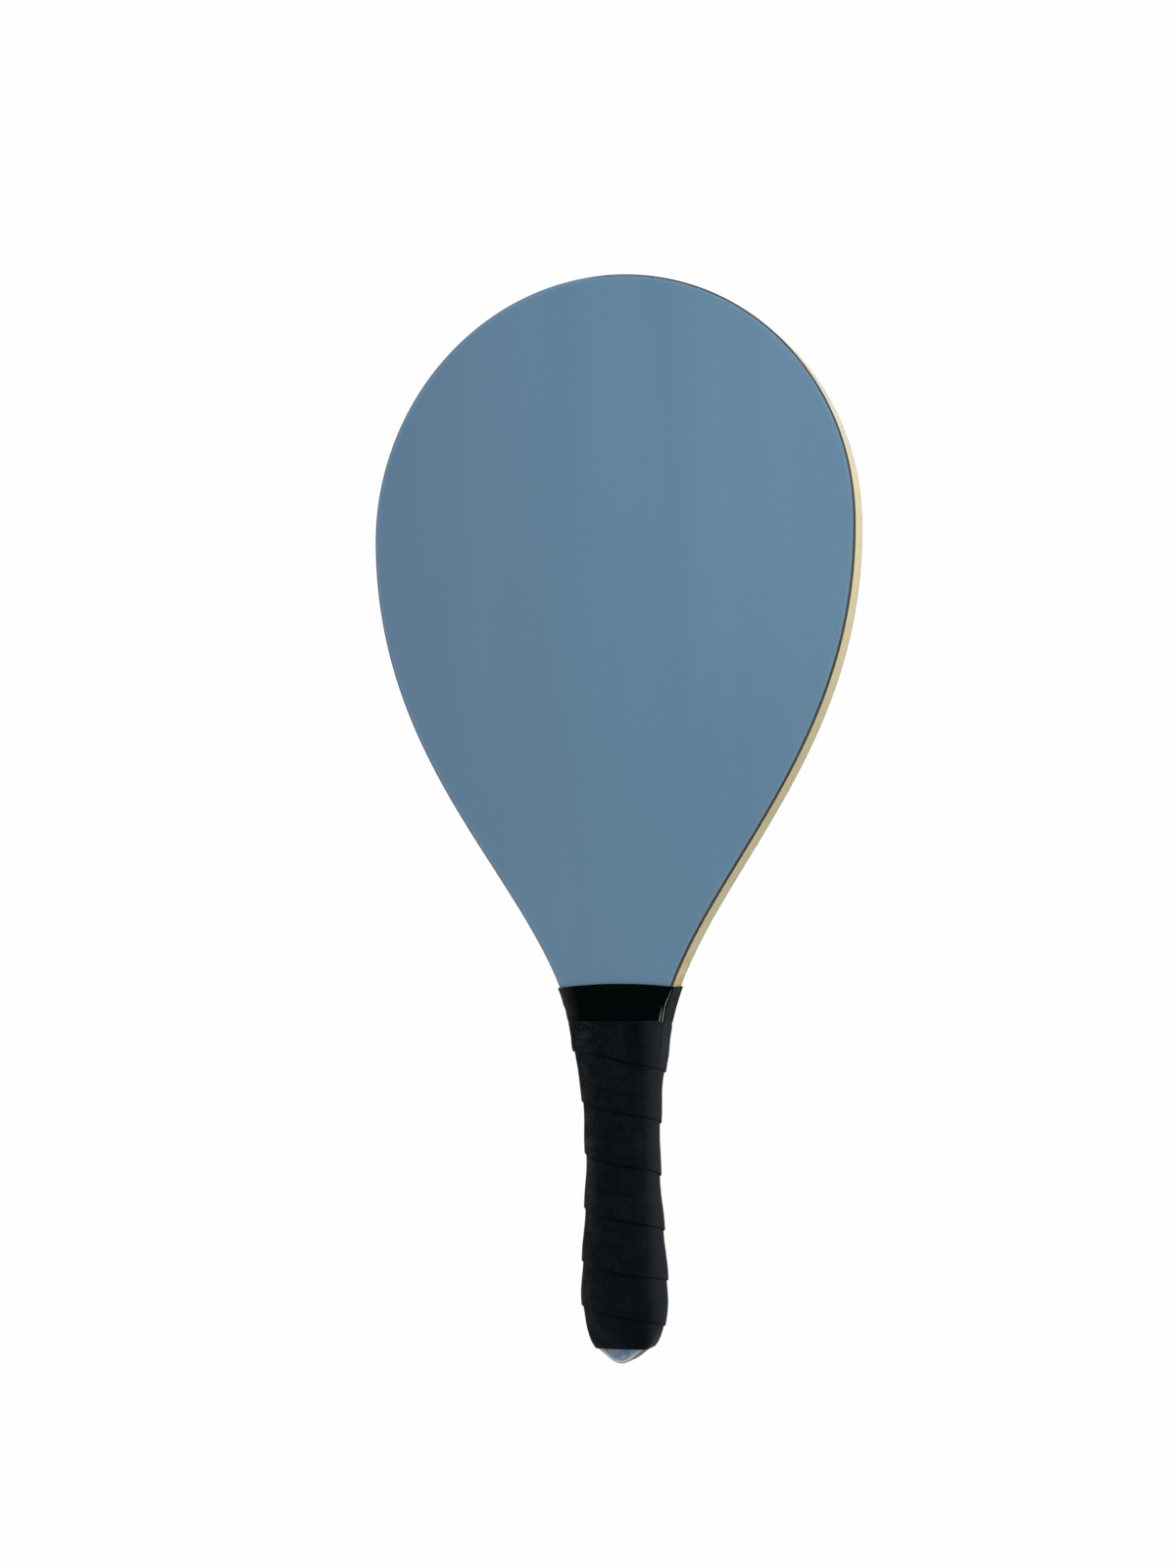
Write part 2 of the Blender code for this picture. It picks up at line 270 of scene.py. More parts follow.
def roundPart(height):
    # Level where each half's arc starts, and how far it reaches out from there
    ramp = smoothStep((handle["throatAt"] - height) / handle["rampLength"])
    full = smoothStep((height - handle["buttAt"]) / handle["buttRound"])
    kept = handle["buttRounding"] + (1.0 - handle["buttRounding"]) * full
    depth = (cheekBase - handle["sideFlat"] / 2) * ramp ** 2 * kept
    return cheekBase - depth, domeHeight(height) + depth


rimRound = [roundPart(y - tipY) for _, y in rim]


def boardRing(level, inset):
    # The board's outline at a level off its middle, drawn in by an inset
    power = handle["power"]
    shares = [(1.0 - (max(abs(level) - start, 0.0) / reach) ** power) ** (1.0 / power)
              for start, reach in rimRound]
    flat = rim * np.column_stack([shares, np.ones(len(rim))]) - rimOut * inset
    return np.column_stack([flat, np.full(len(rim), midPlane + level)])


# Mesh helpers

def loft(name, rings, ends="capped"):
    # Quads between closed rings of equal count; the ends are capped or joined to each other
    count, rows = len(rings[0]), len(rings)
    faces = []
    for row in range(rows if ends == "joined" else rows - 1):
        here, there = row * count, (row + 1) % rows * count
        for spot in range(count):
            after = (spot + 1) % count
            faces.append((here + spot, here + after, there + after, there + spot))
    if ends == "capped":
        faces.append(tuple(range(count)))
        faces.append(tuple(range((rows - 1) * count, rows * count)))
    mesh = bpy.data.meshes.new(name)
    mesh.from_pydata(np.vstack(rings).tolist(), [], faces)
    shape = bmesh.new()
    shape.from_mesh(mesh)
    bmesh.ops.recalc_face_normals(shape, faces=shape.faces)
    shape.to_mesh(mesh)
    shape.free()
    mesh.shade_smooth()
    return mesh


def addPiece(name, mesh, material, node):
    piece = bpy.data.objects.new(name, mesh)
    bpy.context.scene.collection.objects.link(piece)
    mesh.materials.clear()
    mesh.materials.append(material)
    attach(piece, "root")
    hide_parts(node)
    return piece


def storeOnPoints(mesh, name, values):
    mesh.attributes.new(name, "FLOAT", "POINT").data.foreach_set("value", values)


# Laminate sheets: a blue face on a dark resin body that shows at the chamfer

laminate = {
    "shadowTone": srgb(92, 127, 153), "lightTone": srgb(106, 142, 168),
    "leftTone": srgb(98, 128, 154), "leftFrom": -0.01, "leftTo": -0.09, "leftShare": 0.75,
    "body": srgb(58, 58, 54), "bodyReach": 0.00076, "bodySpread": 0.0002,
    "spreadFrom": 0.15, "spreadTo": 0.11, "bareFrom": -0.012, "bareTo": 0.0, "bareUnderLeftSheen": 0.15,
    "wornLitEdge": srgb(150, 170, 186), "wornLitReach": 0.0026, "wornLitShare": 0.32, "nickDepth": 0.0003,
    "tipBelow": -0.2195, "tipTone": srgb(119, 150, 180), "tipScuffsLit": srgb(155, 174, 192),
    "tipRimHighlight": srgb(205, 211, 217), "tipHighlightFrom": 0.00130, "tipHighlightTo": 0.00095,
    "tipEdge": srgb(120, 118, 118), "edgeFrom": 0.00036, "edgeTo": 0.00020,
    "roughness": 0.42, "bodyRoughness": 0.5, "specular": 0.35, "relief": 0.00002,
}


def makeLaminateMaterial():
    material, tree, shader = newMaterial("steelBlueLaminate")
    place = objectPoint(tree)
    spot = addNode(tree, "ShaderNodeSeparateXYZ", Vector=place).outputs
    broad = addNode(tree, "ShaderNodeTexNoise", Vector=place, Scale=9.0, Detail=2.0)
    bands = addNode(tree, "ShaderNodeGroup", {"node_tree": fleckGroup}, Across=45.0, Along=3.0,
                    Contrast=1.6)
    fibres = addNode(tree, "ShaderNodeGroup", {"node_tree": fleckGroup}, Across=1500.0, Along=240.0,
                     Contrast=1.5)
    tone = calc(tree, "MULTIPLY_ADD", broad.outputs[0], 0.9, -0.2)
    tone = calc(tree, "MULTIPLY_ADD", bands.outputs[0], 0.5, calc(tree, "MULTIPLY", tone, 0.6))
    tone = calc(tree, "MULTIPLY_ADD", calc(tree, "SUBTRACT", fibres.outputs[0], 0.5), 0.28, tone,
                clamp=True)
    face = blendColor(tree, tone, laminate["shadowTone"], laminate["lightTone"])
    # Towards the left side the face turns a duller blue
    towardsLeft = remap(tree, spot["X"], laminate["leftFrom"], laminate["leftTo"], 0.0,
                  laminate["leftShare"])
    face = blendColor(tree, towardsLeft, face, laminate["leftTone"])

    # Rim: a pale band, part rubbed wear and part painted highlight of the rounded edge,
    # with the dark body bare along the right side's chamfer
    edge = addNode(tree, "ShaderNodeAttribute", {"attribute_name": "edgeDistance"}).outputs["Fac"]
    nicks = addNode(tree, "ShaderNodeTexNoise", Vector=place, Scale=420.0, Detail=3.0)
    uneven = calc(tree, "MULTIPLY_ADD", calc(tree, "SUBTRACT", nicks.outputs[0], 0.5),
                  laminate["nickDepth"], edge)
    wornLit = remap(tree, uneven, laminate["wornLitReach"], 0.4 * mm, style="LINEAR")
    wornLit = calc(tree, "MULTIPLY", wornLit, calc(tree, "MULTIPLY_ADD", wornLit, 0.5, 0.5))
    face = blendColor(tree, calc(tree, "MULTIPLY", wornLit, laminate["wornLitShare"]), face,
                      laminate["wornLitEdge"])
    reach = remap(tree, spot["Y"], laminate["spreadFrom"], laminate["spreadTo"],
                  laminate["bodyReach"], laminate["bodyReach"] + laminate["bodySpread"])
    inBody = remap(tree, calc(tree, "SUBTRACT", uneven, reach), 0.06 * mm, -0.06 * mm)
    # On the left the chamfer's dark body is mostly covered by the face colour: painted sheen for the
    # pale surroundings it reflects there
    bare = remap(tree, spot["X"], laminate["bareFrom"], laminate["bareTo"],
                 laminate["bareUnderLeftSheen"], 1.0)
    color = blendColor(tree, calc(tree, "MULTIPLY", inBody, bare), face, laminate["body"])

    # The bare tip is painted lighter all over, as painted light against the shade of the handle's
    # swell, with pale scuffs lightened the same way; round its edge runs a pale band, part rubbed
    # wear and part painted highlight, with a thin dark edge under it
    atTip = remap(tree, spot["Y"], laminate["tipBelow"] + mm, laminate["tipBelow"])
    color = blendColor(tree, atTip, color, laminate["tipTone"])
    scuffs = remap(tree, nicks.outputs[0], 0.42, 0.62)
    color = blendColor(tree, calc(tree, "MULTIPLY", atTip, scuffs), color, laminate["tipScuffsLit"])
    wearAndSheen = remap(tree, uneven, laminate["tipHighlightFrom"], laminate["tipHighlightTo"])
    color = blendColor(tree, calc(tree, "MULTIPLY", atTip, wearAndSheen), color, laminate["tipRimHighlight"])
    outer = remap(tree, uneven, laminate["edgeFrom"], laminate["edgeTo"])
    color = blendColor(tree, calc(tree, "MULTIPLY", atTip, outer), color, laminate["tipEdge"])
    feed(tree, color, shader.inputs["Base Color"])
    dull = calc(tree, "MULTIPLY_ADD", fibres.outputs[0], 0.10, laminate["roughness"] - 0.05)
    feed(tree, calc(tree, "MULTIPLY_ADD", inBody, laminate["bodyRoughness"], dull),
         shader.inputs["Roughness"])
    shader.inputs["Specular IOR Level"].default_value = laminate["specular"]
    bump = addNode(tree, "ShaderNodeBump", Strength=0.25, Distance=laminate["relief"],
                   Height=fibres.outputs[0])
    feed(tree, bump.outputs[0], shader.inputs["Normal"])
    return material


def makeSheet(name, side):
    # Rings of (inset from the outline, depth under the face), from the glue side to the face
    thick, cut = board["sheetThickness"], board["sheetChamfer"]
    steps = [(0.0, thick), (0.0, cut + 0.03 * mm), (0.02 * mm, cut - 0.03 * mm)]
    steps += [(cut * share, cut * (1 - share)) for share in (0.25, 0.5, 0.75, 0.93)]
    steps += [(cut + 0.03 * mm, 0.008 * mm), (cut + 0.10 * mm, 0.0), (1.1 * mm, 0.0),
              (1.6 * mm, 0.0), (3.0 * mm, 0.0)]
    mesh = loft(name, [boardRing(side * (faceHalf - depth), inset) for inset, depth in steps])
    storeOnPoints(mesh, "edgeDistance", np.repeat([inset for inset, _ in steps], len(rim)))
    return mesh


laminateMaterial = makeLaminateMaterial()
addPiece("frontSheet", makeSheet("frontSheet", 1.0), laminateMaterial,
         "front_laminate")
addPiece("rearSheet", makeSheet("rearSheet", -1.0), laminateMaterial,
         "rear_laminate")
print("laminate sheets done")


# Wooden board between the sheets, and the two handle cheeks

wood = {
    "pale": srgb(218, 206, 168), "dark": srgb(186, 172, 131), "lineSpacing": 0.0021,
    "lineStrength": 0.45,
    "highTone": srgb(192, 187, 168), "highFrom": 0.12, "highTo": 0.175, "highShare": 0.85,
    "lowTone": srgb(222, 209, 164), "lowFrom": 0.03, "lowTo": -0.03, "lowShare": 0.65,
    "glueStain": srgb(186, 140, 92), "stainAt": -0.062, "stainLength": 0.012, "stainShare": 0.5,
    "tipBelow": -0.2185, "tipTone": srgb(150, 149, 150),
    "roughness": 0.68, "specular": 0.3, "relief": 0.00008,
    "cheekPale": srgb(190, 160, 120), "cheekDark": srgb(150, 115, 75),
}


def makeWoodMaterial(name, pale, dark, stained):
    material, tree, shader = newMaterial(name)
    grain = addNode(tree, "ShaderNodeGroup", {"node_tree": woodGroup}, Pale=pale, Dark=dark,
                    Line_Spacing=wood["lineSpacing"], Line_Strength=wood["lineStrength"])
    color = grain.outputs["Color"]
    if stained:
        split = addNode(tree, "ShaderNodeSeparateXYZ", Vector=objectPoint(tree))
        along = split.outputs["Y"]
        for part in ("high", "low"):
            share = remap(tree, along, wood[part + "From"], wood[part + "To"])
            color = blendColor(tree, calc(tree, "MULTIPLY", share, wood[part + "Share"]), color,
                               wood[part + "Tone"])
        blotch = addNode(tree, "ShaderNodeTexNoise", Vector=objectPoint(tree), Scale=160.0)
        stain = remap(tree, along, wood["stainAt"] + wood["stainLength"],
                      wood["stainAt"] - wood["stainLength"] / 2)
        stain = calc(tree, "MULTIPLY", stain, remap(tree, blotch.outputs[0], 0.35, 0.65))
        color = blendColor(tree, calc(tree, "MULTIPLY", stain, wood["stainShare"]), color,
                           wood["glueStain"])
        atTip = remap(tree, along, wood["tipBelow"] + mm, wood["tipBelow"])
        color = blendColor(tree, atTip, color, wood["tipTone"])
    feed(tree, color, shader.inputs["Base Color"])
    rough = calc(tree, "MULTIPLY_ADD", grain.outputs["Height"], -0.12, wood["roughness"] + 0.06)
    feed(tree, rough, shader.inputs["Roughness"])
    shader.inputs["Specular IOR Level"].default_value = wood["specular"]
    bump = addNode(tree, "ShaderNodeBump", Strength=0.5, Distance=wood["relief"],
                   Height=grain.outputs["Height"])
    feed(tree, bump.outputs[0], shader.inputs["Normal"])
    return material


def makeBoard():
    half, bend = board["coreThickness"] / 2, board["coreRound"]
    steps = [(bend * (1 - math.sin(turn)), -half + bend * (1 - math.cos(turn)))
             for turn in np.linspace(0.0, math.pi / 2, 4)]
    steps += [(0.0, level) for level in np.linspace(-half * 0.8, half * 0.8, 9)]
    steps += [(inset, -level) for inset, level in steps[3::-1]]
    return loft("coreBoard", [boardRing(level, inset) for inset, level in steps])


boardMaterial = makeWoodMaterial("paleBoardWood", wood["pale"], wood["dark"], True)
cheekMaterial = makeWoodMaterial("cheekWood", wood["cheekPale"], wood["cheekDark"], False)
addPiece("coreBoard", makeBoard(), boardMaterial, "core_panel")
for nodeName in ("front_cheek", "rear_cheek"):
    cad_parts[nodeName].data.materials.clear()
    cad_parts[nodeName].data.materials.append(cheekMaterial)
print("board and cheeks done")


def makeHandleForm():
    power = 2.0 / handle["power"]
    rings = []
    for height in np.linspace(handle["low"], handle["high"], handle["rings"]):
        wide, (start, reach) = halfWidth(height), roundPart(height)
        arc = []
        for turn in np.linspace(0.0, math.pi, handle["arc"]):
            across = math.copysign(abs(math.cos(turn)) ** power, math.cos(turn))
            arc.append((wide * across, start + reach * abs(math.sin(turn)) ** power))
        ring = arc + [(x, -z) for x, z in arc[::-1]]
        rings.append([(x, tipY + height, midPlane + z) for x, z in ring])
    return loft("handleForm", rings)


# Overgrip: one tape wound up the handle, each turn lapped over the one below

grip = {
    "Pitch": 0.0212, "Tape Width": 0.0246, "Thickness": 0.0006, "Turn Gap": 0.00010,
    "Lap": 0.0034, "Rise": 0.0150, "First Seam": 0.0136, "Butt": 0.0064, "Throat": 0.1408,
    "Start": -1.264, "Finish": 5.79, "Start Angle": math.radians(-2.4), "Clearance": 0.0003,
    "Lap Begins": 0.80, "Lap Full": 0.95, "Ray Length": 0.08,
    "Sway": 0.0006, "Pucker": 0.00016, "Puckers Along": 11.0, "Puckers Across": 260.0,
    "Stations": 640, "Edge Points": 61,
}
turnLength = 0.105  # One turn of the tape, for the patterns along it

# How far each turn strays from an even pitch: (turns, metres)
strays = [(-1.3, 0.0016), (0.2, 0.0014), (1.4, -0.0021), (2.4, -0.0014), (3.3, 0.0), (5.8, 0.0)]
strayRange = (strays[0][0], strays[-1][0])
strayReach = 0.003


def setCurve(mapping, points):
    # Points of (turns, metres) on a curve that runs from 0 to 1 both ways
    curve = mapping.curves[0]
    span = strayRange[1] - strayRange[0]
    spots = [((turns - strayRange[0]) / span, 0.5 + stray / (2 * strayReach))
             for turns, stray in points]
    curve.points[0].location, curve.points[1].location = spots[0], spots[-1]
    for spot in spots[1:-1]:
        curve.points.new(*spot)
    mapping.update()


def seamHeight(tree, turns, inside):
    # Height of the tape's lower edge: an even climb, its strays and a sway in each turn
    even = calc(tree, "MULTIPLY_ADD", turns, inside["Pitch"], inside["First Seam"])
    share = remap(tree, turns, *strayRange, style="LINEAR")
    curve = addNode(tree, "ShaderNodeFloatCurve", Value=share)
    setCurve(curve.mapping, strays)
    stray = calc(tree, "MULTIPLY_ADD", curve.outputs[0], 2 * strayReach, -strayReach)
    sway = calc(tree, "COSINE", calc(tree, "MULTIPLY", turns, 2 * math.pi))
    return calc(tree, "MULTIPLY_ADD", sway, inside["Sway"], calc(tree, "ADD", even, stray))


def makeWindTree():
    tree = bpy.data.node_groups.new("windTape", "GeometryNodeTree")
    tree.interface.new_socket("Handle", in_out="INPUT", socket_type="NodeSocketGeometry")
    for label, value in grip.items():
        whole = isinstance(value, int)
        socket = tree.interface.new_socket(
            label, in_out="INPUT", socket_type="NodeSocketInt" if whole else "NodeSocketFloat")
        socket.default_value = value
    tree.interface.new_socket("Material", in_out="INPUT", socket_type="NodeSocketMaterial")
    tree.interface.new_socket("Tape", in_out="OUTPUT", socket_type="NodeSocketGeometry")
    inside = tree.nodes.new("NodeGroupInput").outputs
    outside = tree.nodes.new("NodeGroupOutput").inputs

    # A unit grid: x goes once round the tape's own section, y along its length
    grid = addNode(tree, "GeometryNodeMeshGrid", Size_X=1.0, Size_Y=1.0,
                   Vertices_X=inside["Edge Points"], Vertices_Y=inside["Stations"])
    spot = addNode(tree, "ShaderNodeSeparateXYZ",
                   Vector=addNode(tree, "GeometryNodeInputPosition").outputs[0])
    aroundSection = calc(tree, "ADD", spot.outputs["X"], 0.5)
    along = calc(tree, "ADD", spot.outputs["Y"], 0.5)
    turns = calc(tree, "ADD", inside["Start"],
                 calc(tree, "MULTIPLY", along,
                      calc(tree, "SUBTRACT", inside["Finish"], inside["Start"])))

    # Share of the width, bunched at both edges, and the outer or inner side
    ramp = calc(tree, "SUBTRACT", 1.0, calc(tree, "ABSOLUTE", calc(
        tree, "MULTIPLY_ADD", aroundSection, 2.0, -1.0)))
    share = calc(tree, "MULTIPLY_ADD", calc(tree, "COSINE", calc(
        tree, "MULTIPLY", ramp, math.pi)), -0.5, 0.5)
    outer = calc(tree, "LESS_THAN", aroundSection, 0.5)
    sign = calc(tree, "MULTIPLY_ADD", outer, 2.0, -1.0)

    # Height of the point up the handle, with the tape trimmed at the butt and the throat
    seam = seamHeight(tree, turns, inside)
    low = calc(tree, "MAXIMUM", seam, inside["Butt"])
    high = calc(tree, "MINIMUM", calc(tree, "ADD", seam, inside["Tape Width"]), inside["Throat"])
    width = calc(tree, "SUBTRACT", high, low)
    height = calc(tree, "MULTIPLY_ADD", width, share, low)

    # The handle's surface there, found by a ray towards its middle line
    angle = calc(tree, "MULTIPLY_ADD", turns, 2 * math.pi, inside["Start Angle"])
    outward = addNode(tree, "ShaderNodeCombineXYZ", X=calc(tree, "COSINE", angle),
                      Z=calc(tree, "SINE", angle)).outputs[0]
    middle = addNode(tree, "ShaderNodeCombineXYZ", Y=calc(tree, "ADD", height, tipY),
                     Z=midPlane).outputs[0]
    away = addNode(tree, "ShaderNodeVectorMath", {"operation": "SCALE"}, Vector=outward,
                   Scale=inside["Ray Length"])
    source = addNode(tree, "ShaderNodeVectorMath", {"operation": "ADD"})
    feed(tree, middle, source.inputs[0])
    feed(tree, away.outputs[0], source.inputs[1])
    inward = addNode(tree, "ShaderNodeVectorMath", {"operation": "SCALE"}, Vector=outward,
                     Scale=-1.0)
    ray = addNode(tree, "GeometryNodeRaycast", {"data_type": "FLOAT_VECTOR"},
                  Target_Geometry=inside["Handle"], Source_Position=source.outputs[0],
                  Ray_Direction=inward.outputs[0], Ray_Length=inside["Ray Length"])
    feed(tree, addNode(tree, "GeometryNodeInputNormal").outputs[0], ray.inputs["Attribute"])
    surfaceNormal = addNode(tree, "ShaderNodeVectorMath", {"operation": "NORMALIZE"},
                            Vector=ray.outputs["Attribute"]).outputs[0]

    # Lift: the lower strip lies over the turn below, then slopes down to the handle
    fromSeam = calc(tree, "SUBTRACT", height, seam)
    fall = remap(tree, calc(tree, "SUBTRACT", fromSeam, inside["Lap"]), 0.0, inside["Rise"])
    started = remap(tree, calc(tree, "SUBTRACT", turns, inside["Start"]), inside["Lap Begins"],
                    inside["Lap Full"])
    raised = calc(tree, "ADD", inside["Thickness"], inside["Turn Gap"])
    lift = calc(tree, "MULTIPLY", calc(tree, "MULTIPLY", raised, calc(tree, "SUBTRACT", 1.0, fall)),
                started)

    # Rounded edges and ends
    half = calc(tree, "MULTIPLY", inside["Thickness"], 0.5)
    toEdge = calc(tree, "MULTIPLY", calc(tree, "MINIMUM", share,
                                         calc(tree, "SUBTRACT", 1.0, share)), width)
    short = calc(tree, "SUBTRACT", 1.0, calc(tree, "DIVIDE", toEdge, half), clamp=True)
    rounding = calc(tree, "SQRT", calc(tree, "SUBTRACT", 1.0, calc(tree, "MULTIPLY", short, short)))
    toEnd = calc(tree, "MINIMUM", along, calc(tree, "SUBTRACT", 1.0, along))
    ends = calc(tree, "MULTIPLY", toEnd, inside["Stations"], clamp=True)
    shell = calc(tree, "MULTIPLY", calc(tree, "MULTIPLY", half, rounding),
                 calc(tree, "MULTIPLY", sign, ends))

    # Puckers: long shallow waves where the stretched tape bends round the oval, none at its
    # edges and ends, where the outer side meets the inner one
    waveSpot = addNode(tree, "ShaderNodeCombineXYZ",
                       X=calc(tree, "MULTIPLY", turns, inside["Puckers Along"]),
                       Y=calc(tree, "MULTIPLY", fromSeam, inside["Puckers Across"]),
                       Z=calc(tree, "MULTIPLY", calc(tree, "FLOOR", turns), 7.3))
    waves = addNode(tree, "ShaderNodeTexNoise", Vector=waveSpot.outputs[0], Scale=1.0, Detail=2.0)
    free = calc(tree, "DIVIDE", toEdge, inside["Thickness"], clamp=True)
    free = calc(tree, "MULTIPLY", free, calc(tree, "MULTIPLY", ends, outer))
    pucker = calc(tree, "MULTIPLY", calc(tree, "SUBTRACT", waves.outputs[0], 0.5),
                  calc(tree, "MULTIPLY", inside["Pucker"], free))
    offset = calc(tree, "ADD", calc(tree, "ADD", inside["Clearance"], half),
                  calc(tree, "ADD", lift, calc(tree, "ADD", shell, pucker)))
    push = addNode(tree, "ShaderNodeVectorMath", {"operation": "SCALE"}, Vector=surfaceNormal,
                   Scale=offset)
    place = addNode(tree, "ShaderNodeVectorMath", {"operation": "ADD"})
    feed(tree, ray.outputs["Hit Position"], place.inputs[0])
    feed(tree, push.outputs[0], place.inputs[1])

    # What the material needs: distance along the tape, up from its lower edge, and down
    # from the next turn's lower edge, which is out of reach on the last turn
    nextTurn = calc(tree, "ADD", turns, 1.0)
    noNext = calc(tree, "GREATER_THAN", nextTurn, inside["Finish"])
    underLap = calc(tree, "SUBTRACT", seamHeight(tree, nextTurn, inside), height)
    underLap = calc(tree, "ADD", underLap, noNext)
    tapePlace = addNode(tree, "ShaderNodeCombineXYZ", X=calc(tree, "MULTIPLY", turns, turnLength),
                        Y=fromSeam, Z=toEdge)
    stored = addNode(tree, "GeometryNodeStoreNamedAttribute",
                     {"data_type": "FLOAT_VECTOR", "domain": "POINT"},
                     Geometry=grid.outputs["Mesh"], Name="tapePlace", Value=tapePlace.outputs[0])
    stored = addNode(tree, "GeometryNodeStoreNamedAttribute",
                     {"data_type": "FLOAT", "domain": "POINT"},
                     Geometry=stored.outputs[0], Name="underLap", Value=underLap)
    moved = addNode(tree, "GeometryNodeSetPosition", Geometry=stored.outputs[0],
                    Position=place.outputs[0])
    merged = addNode(tree, "GeometryNodeMergeByDistance", Geometry=moved.outputs[0],
                     Distance=0.002 * mm)
    smooth = addNode(tree, "GeometryNodeSetShadeSmooth", Geometry=merged.outputs[0])
    real = addNode(tree, "GeometryNodeRealizeInstances", Geometry=smooth.outputs[0])
    finished = addNode(tree, "GeometryNodeSetMaterial", Geometry=real.outputs[0],
                       Material=inside["Material"])
    feed(tree, finished.outputs[0], outside["Tape"])
    return tree


def windTape(material):
    form = bpy.data.objects.new("handleForm", makeHandleForm())
    bpy.context.scene.collection.objects.link(form)
    tree = makeWindTree()
    winding = form.modifiers.new("winding", "NODES")
    winding.node_group = tree
    for item in tree.interface.items_tree:
        if item.in_out == "INPUT" and item.name in grip:
            winding[item.identifier] = grip[item.name]
        elif item.in_out == "INPUT" and item.name == "Material":
            winding[item.identifier] = material
    made = form.evaluated_get(bpy.context.evaluated_depsgraph_get())
    mesh = bpy.data.meshes.new_from_object(made)
    form.modifiers.remove(winding)
    bpy.data.objects.remove(form, do_unlink=True)
    shape = bmesh.new()
    shape.from_mesh(mesh)
    bmesh.ops.recalc_face_normals(shape, faces=shape.faces)
    shape.to_mesh(mesh)
    shape.free()
    return mesh


# The seam colour is painted shade, along the seams and in the creases
gripFinish = {
    "dark": srgb(4, 9, 14), "light": srgb(12, 20, 26), "seam": srgb(3, 5, 7),
    "wearAndSheen": srgb(54, 55, 56), "wearAndSheenFrom": 0.0062, "wearAndSheenTo": 0.0145, "wearAndSheenMiddle": 0.080,
    "wearAndSheenReach": 0.034, "wearAndSheenEnds": 0.30,
    # Painted light on the right flank, and painted shade beside the flat
    "flank": srgb(30, 34, 38), "flankLightFrom": 0.78, "flankLightTo": 0.98,
    "besideShade": srgb(0, 4, 9), "besideShadeShare": 0.55, "besideShadeFrom": (0.34, 0.62),
    "besideShadeTo": (0.88, 0.74),
    "seamReach": 0.0013, "edgeReach": 0.0005, "seamFull": 0.006, "seamFades": 0.0125,
    "seamFaint": 0.1, "faintAbove": (0.003, -0.007), "faintBlend": 0.002, "creaseShadeShare": 0.6,
    "roughness": 0.50, "dullSpots": 0.12, "seamRoughness": 0.3, "specular": 0.05,
    "sheen": 0.05, "sheenRoughness": 0.32, "relief": 0.00007,
}


